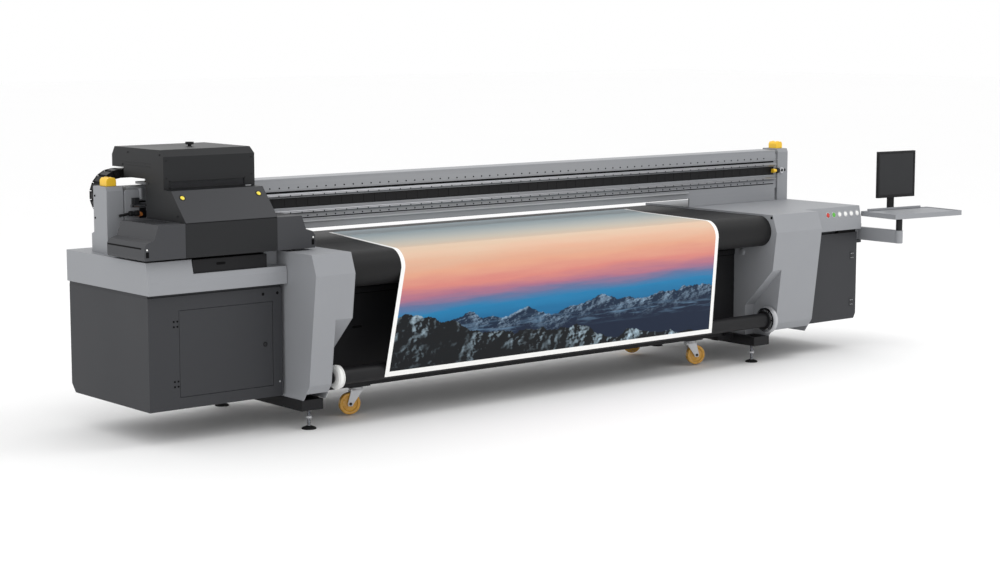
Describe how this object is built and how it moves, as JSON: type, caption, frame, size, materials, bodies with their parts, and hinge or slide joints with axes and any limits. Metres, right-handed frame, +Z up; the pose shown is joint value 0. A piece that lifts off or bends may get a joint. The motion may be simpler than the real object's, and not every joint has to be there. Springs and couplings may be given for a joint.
{
  "type": "flatbed uv printer",
  "caption": "Wide belt-fed inkjet printer: table between cabinets, carriage with curing lamps on a beam, take-up shaft, monitor on a swing arm.",
  "frame": {"origin": "middle of the bounding box at floor level", "axes": "+Z up, +X to the operator's right, -Y towards the operator and the take-up shaft"},
  "size_m": [6.2606, 1.5159, 1.6],
  "materials": {
    "grey_paint": "cool light grey powder coat, satin",
    "dark_paint": "charcoal textured powder coat",
    "black_paint": "black powder coat",
    "carriage_paint": "near-black textured powder coat",
    "aluminium": "clear anodised extrusion",
    "steel": "ground or zinc-plated steel",
    "chrome": "bright plated",
    "belt_rubber": "matt black woven conveyor belt",
    "amber_polyurethane": "amber polyurethane tread",
    "yellow_plastic": "yellow moulding",
    "white_plastic": "white moulding",
    "red_plastic": "red button cap",
    "green_plastic": "green button cap",
    "black_plastic": "black plastic",
    "printed_vinyl": "white vinyl printed with a landscape"
  },
  "bodies": {
    "machine": {"base_frame": "black_paint", "front_left_foot": "chrome", "front_right_foot": "chrome", "rear_left_foot": "chrome", "rear_right_foot": "chrome", "left_pillar": "grey_paint", "right_pillar": "grey_paint", "left_cabinet": "dark_paint", "left_hood": "grey_paint", "capping_station": "black_paint", "right_cabinet": "dark_paint", "right_desk": "grey_paint", "vacuum_table": "aluminium", "conveyor_belt": "belt_rubber", "front_panel": "black_paint", "rear_panel": "black_paint", "beam": "aluminium", "lower_guide_rail": "steel", "upper_guide_rail": "steel", "left_tower": "grey_paint", "right_tower": "grey_paint", "left_stop_block": "yellow_plastic", "right_stop_block": "yellow_plastic", "chain_tray": "aluminium", "chain_lower_run": "black_plastic", "printed_media": "printed_vinyl"},
    "left_door": {"left_door": "dark_paint"},
    "right_door": {"right_door": "dark_paint"},
    "front_roller": {"front_belt_roller": "steel"},
    "rear_roller": {"rear_belt_roller": "steel"},
    "take_up": {"take_up_shaft": "black_plastic", "left_chuck": "white_plastic", "right_chuck": "steel"},
    "feed": {"feed_shaft": "black_plastic"},
    "trolley": {"trolley": "aluminium"},
    "carriage": {"carriage_housing": "carriage_paint", "front_cover": "dark_paint", "print_heads": "steel", "left_uv_lamp": "dark_paint", "right_uv_lamp": "dark_paint"},
    "chain_loop": {"chain_loop": "black_plastic"},
    "left_pause_button": {"left_pause_button": "yellow_plastic"},
    "right_pause_button": {"right_pause_button": "yellow_plastic"},
    "red_button": {"red_button": "red_plastic"},
    "green_button": {"green_button": "green_plastic"},
    "first_white_button": {"first_white_button": "white_plastic"},
    "second_white_button": {"second_white_button": "white_plastic"},
    "third_white_button": {"third_white_button": "white_plastic"},
    "fourth_white_button": {"fourth_white_button": "white_plastic"},
    "front_left_swivel": {"front_left_caster_fork": "steel"},
    "front_left_wheel": {"front_left_caster_wheel": "amber_polyurethane"},
    "front_right_swivel": {"front_right_caster_fork": "steel"},
    "front_right_wheel": {"front_right_caster_wheel": "amber_polyurethane"},
    "rear_left_swivel": {"rear_left_caster_fork": "steel"},
    "rear_left_wheel": {"rear_left_caster_wheel": "amber_polyurethane"},
    "rear_right_swivel": {"rear_right_caster_fork": "steel"},
    "rear_right_wheel": {"rear_right_caster_wheel": "amber_polyurethane"},
    "arm": {"swing_arm": "dark_paint"},
    "tray": {"tray": "grey_paint"},
    "monitor": {"monitor": "black_plastic"}
  },
  "joints": [
    {"name": "carriage_slide", "type": "slide", "parent": "machine", "child": "trolley", "axis": [1, 0, 0], "range_m": [0, 4.2], "deforming": ["chain_lower_run"]},
    {"name": "chain_loop_slide", "type": "slide", "parent": "trolley", "child": "chain_loop", "axis": [1, 0, 0], "range_m": [-2.1, 0]},
    {"name": "carriage_lift", "type": "slide", "parent": "trolley", "child": "carriage", "axis": [0, 0, 1], "range_m": [0, 0.05]},
    {"name": "left_pause_press", "type": "slide", "parent": "carriage", "child": "left_pause_button", "axis": [0, -0.7431, 0.6692], "range_m": [-0.004, 0], "stiffness_N_per_m": 500, "springref_m": 0.001},
    {"name": "right_pause_press", "type": "slide", "parent": "carriage", "child": "right_pause_button", "axis": [0, -0.7431, 0.6692], "range_m": [-0.004, 0], "stiffness_N_per_m": 500, "springref_m": 0.001},
    {"name": "red_press", "type": "slide", "parent": "machine", "child": "red_button", "axis": [0, -0.9785, 0.206], "range_m": [-0.004, 0], "stiffness_N_per_m": 500, "springref_m": 0.001},
    {"name": "green_press", "type": "slide", "parent": "machine", "child": "green_button", "axis": [0, -0.9785, 0.206], "range_m": [-0.004, 0], "stiffness_N_per_m": 500, "springref_m": 0.001},
    {"name": "first_white_press", "type": "slide", "parent": "machine", "child": "first_white_button", "axis": [0, -0.9785, 0.206], "range_m": [-0.004, 0], "stiffness_N_per_m": 500, "springref_m": 0.001},
    {"name": "second_white_press", "type": "slide", "parent": "machine", "child": "second_white_button", "axis": [0, -0.9785, 0.206], "range_m": [-0.004, 0], "stiffness_N_per_m": 500, "springref_m": 0.001},
    {"name": "third_white_press", "type": "slide", "parent": "machine", "child": "third_white_button", "axis": [0, -0.9785, 0.206], "range_m": [-0.004, 0], "stiffness_N_per_m": 500, "springref_m": 0.001},
    {"name": "fourth_white_press", "type": "slide", "parent": "machine", "child": "fourth_white_button", "axis": [0, -0.9785, 0.206], "range_m": [-0.004, 0], "stiffness_N_per_m": 500, "springref_m": 0.001},
    {"name": "left_door_hinge", "type": "hinge", "parent": "machine", "child": "left_door", "pos_m": [-2.9027, -0.235, 0.49], "axis": [0, 0, -1], "range_deg": [0, 110]},
    {"name": "right_door_hinge", "type": "hinge", "parent": "machine", "child": "right_door", "pos_m": [2.4473, -0.364, 0.515], "axis": [0, 0, 1], "range_deg": [0, 90]},
    {"name": "front_roller_spin", "type": "hinge", "parent": "machine", "child": "front_roller", "pos_m": [-0.2592, -0.394, 0.888], "axis": [1, 0, 0], "continuous": true},
    {"name": "rear_roller_spin", "type": "hinge", "parent": "machine", "child": "rear_roller", "pos_m": [-0.2592, 0.658, 0.888], "axis": [1, 0, 0], "continuous": true},
    {"name": "take_up_spin", "type": "hinge", "parent": "machine", "child": "take_up", "pos_m": [-0.2627, -0.409, 0.29], "axis": [1, 0, 0], "continuous": true},
    {"name": "feed_spin", "type": "hinge", "parent": "machine", "child": "feed", "pos_m": [-0.2627, 0.613, 0.29], "axis": [1, 0, 0], "continuous": true},
    {"name": "front_left_caster_swivel", "type": "hinge", "parent": "machine", "child": "front_left_swivel", "pos_m": [-1.7027, -0.174, 0.15], "axis": [0, 0, 1], "continuous": true},
    {"name": "front_left_wheel_spin", "type": "hinge", "parent": "front_left_swivel", "child": "front_left_wheel", "pos_m": [-1.73863, -0.16163, 0.074], "axis": [-0.3256, -0.9455, 0], "continuous": true},
    {"name": "front_right_caster_swivel", "type": "hinge", "parent": "machine", "child": "front_right_swivel", "pos_m": [1.0173, -0.174, 0.15], "axis": [0, 0, 1], "continuous": true},
    {"name": "front_right_wheel_spin", "type": "hinge", "parent": "front_right_swivel", "child": "front_right_wheel", "pos_m": [1.05323, -0.18637, 0.074], "axis": [0.3256, 0.9455, 0], "continuous": true},
    {"name": "rear_left_caster_swivel", "type": "hinge", "parent": "machine", "child": "rear_left_swivel", "pos_m": [-1.7027, 0.438, 0.15], "axis": [0, 0, 1], "continuous": true},
    {"name": "rear_left_wheel_spin", "type": "hinge", "parent": "rear_left_swivel", "child": "rear_left_wheel", "pos_m": [-1.73863, 0.45037, 0.074], "axis": [-0.3256, -0.9455, 0], "continuous": true},
    {"name": "rear_right_caster_swivel", "type": "hinge", "parent": "machine", "child": "rear_right_swivel", "pos_m": [1.0173, 0.438, 0.15], "axis": [0, 0, 1], "continuous": true},
    {"name": "rear_right_wheel_spin", "type": "hinge", "parent": "rear_right_swivel", "child": "rear_right_wheel", "pos_m": [1.05323, 0.42563, 0.074], "axis": [0.3256, 0.9455, 0], "continuous": true},
    {"name": "arm_swing", "type": "hinge", "parent": "machine", "child": "arm", "pos_m": [2.5333, -0.284, 0.797], "axis": [0, 0, 1], "range_deg": [0, 90]},
    {"name": "tray_swivel", "type": "hinge", "parent": "arm", "child": "tray", "pos_m": [2.5333, -0.664, 0.93], "axis": [0, 0, 1], "range_deg": [-60, 3]},
    {"name": "monitor_tilt", "type": "hinge", "parent": "tray", "child": "monitor", "pos_m": [2.82265, -0.36963, 1.164], "axis": [-0.9945, 0.1045, 0], "range_deg": [0, 20]}
  ],
  "couplings": [
    {"joint": "chain_loop_slide", "follows": "carriage_slide", "ratio": -0.5},
    {"joint": "rear_roller_spin", "follows": "front_roller_spin", "ratio": 1}
  ]
}
